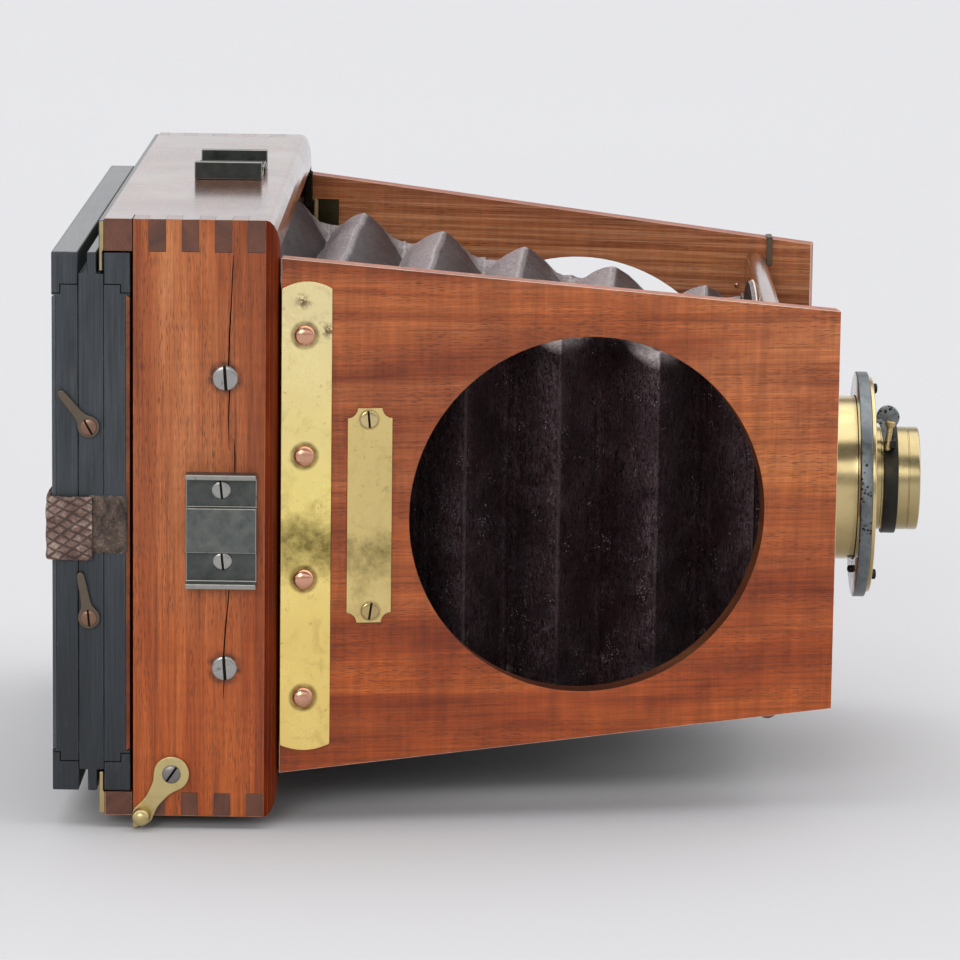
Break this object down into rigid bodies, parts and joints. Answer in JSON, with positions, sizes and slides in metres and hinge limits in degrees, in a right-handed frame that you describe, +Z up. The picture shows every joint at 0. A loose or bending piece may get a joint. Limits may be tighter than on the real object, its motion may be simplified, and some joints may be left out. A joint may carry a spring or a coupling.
{
  "type": "folding view camera",
  "caption": "Folding wooden plate view camera: finger-jointed mahogany box, tapered cheeks with round windows, leather bellows, brass lens and a double plate holder.",
  "frame": {"origin": "the tripod bush, in the middle of the underside of the box", "axes": "+X out of the lens, +Y to the side away from the nameplate, +Z up"},
  "size_m": [0.2664, 0.2278, 0.1891],
  "materials": {
    "mahogany": "French-polished mahogany, worn",
    "black_wood": "ebonised wood, satin, rubbed at the edges",
    "brass": "polished and lightly tarnished",
    "copper": "polished copper",
    "steel": "dull, pitted",
    "gunmetal": "blackened, worn at the edges",
    "bellows_leather": "fine-grained leather, soft sheen",
    "brown_leather": "dry and scuffed",
    "glass": "clear"
  },
  "bodies": {
    "box": {"top_board": "mahogany", "bottom_board": "mahogany", "near_side_board": "mahogany", "far_side_board": "mahogany", "bellows_rear_frame": "mahogany", "upper_holder_lip": "brass", "lower_holder_lip": "brass", "top_shoe": "gunmetal", "side_shoe": "gunmetal", "tripod_bush": "brass", "upper_side_screw": "steel", "lower_side_screw": "steel", "near_hinge": "brass", "far_hinge": "brass", "lever_screw": "steel", "bellows": "bellows_leather"},
    "lever": {"holder_lever": "brass"},
    "near_side": {"near_cheek": "mahogany", "near_hinge_leaf": "brass", "near_outer_strip": "brass", "near_rivet_1": "copper", "near_rivet_2": "copper", "near_rivet_3": "copper", "near_rivet_4": "copper", "nameplate": "brass"},
    "far_side": {"far_cheek": "mahogany", "far_hinge_leaf": "brass", "far_outer_strip": "brass", "far_rivet_1": "copper", "far_rivet_2": "copper", "far_rivet_3": "copper", "far_rivet_4": "copper", "board_catch": "steel"},
    "front": {"lens_board": "mahogany", "bellows_front_frame": "bellows_leather", "lens_base_tube": "brass", "steel_disc": "steel", "lens_flange": "brass"},
    "lens": {"lens_barrel": "brass", "front_lens": "glass", "rear_lens": "glass", "clamp_ring": "gunmetal", "clamp_screw": "brass"},
    "holder": {"holder_core": "black_wood", "front_leaf": "black_wood", "septum": "gunmetal", "front_plate": "glass", "rear_plate": "glass", "leaf_hinge": "brass", "upper_hook_screw": "copper", "lower_hook_screw": "copper"},
    "rear_leaf": {"rear_leaf": "black_wood"},
    "front_shutter": {"front_shutter": "black_wood", "front_tab": "brown_leather"},
    "rear_shutter": {"rear_shutter": "black_wood", "rear_tab": "brown_leather"},
    "upper_hook": {"upper_hook": "steel"},
    "lower_hook": {"lower_hook": "steel"}
  },
  "joints": [
    {"name": "front_slide", "type": "slide", "parent": "box", "child": "front", "axis": [1, 0, 0], "range_m": [-0.15, 0], "deforming": ["bellows"]},
    {"name": "lens_focus", "type": "slide", "parent": "front", "child": "lens", "axis": [1, 0, 0], "range_m": [0, 0.01]},
    {"name": "near_cheek_hinge", "type": "hinge", "parent": "box", "child": "near_side", "pos_m": [0.0272, -0.0968, 0.09], "axis": [0, 0, -1], "range_deg": [0, 4]},
    {"name": "far_cheek_hinge", "type": "hinge", "parent": "box", "child": "far_side", "pos_m": [0.0272, 0.0968, 0.09], "axis": [0, 0, 1], "range_deg": [0, 4]},
    {"name": "holder_slide", "type": "slide", "parent": "box", "child": "holder", "axis": [0, -1, 0], "range_m": [0, 0.2]},
    {"name": "rear_leaf_hinge", "type": "hinge", "parent": "holder", "child": "rear_leaf", "pos_m": [-0.03345, 0.1024, 0.0893], "axis": [0, 0, -1], "range_deg": [0, 90]},
    {"name": "front_shutter_slide", "type": "slide", "parent": "holder", "child": "front_shutter", "axis": [0, -1, 0], "range_m": [0, 0.185]},
    {"name": "rear_shutter_slide", "type": "slide", "parent": "rear_leaf", "child": "rear_shutter", "axis": [0, -1, 0], "range_m": [0, 0.185]},
    {"name": "upper_hook_turn", "type": "hinge", "parent": "holder", "child": "upper_hook", "pos_m": [-0.0303, -0.1115, 0.118], "axis": [0, -1, 0], "range_deg": [-95, 20]},
    {"name": "lower_hook_turn", "type": "hinge", "parent": "holder", "child": "lower_hook", "pos_m": [-0.0303, -0.1115, 0.0604], "axis": [0, -1, 0], "range_deg": [-70, 45]},
    {"name": "holder_lever_turn", "type": "hinge", "parent": "box", "child": "lever", "pos_m": [-0.00566, -0.112, 0.01316], "axis": [0, -1, 0], "range_deg": [-55, 0]}
  ]
}
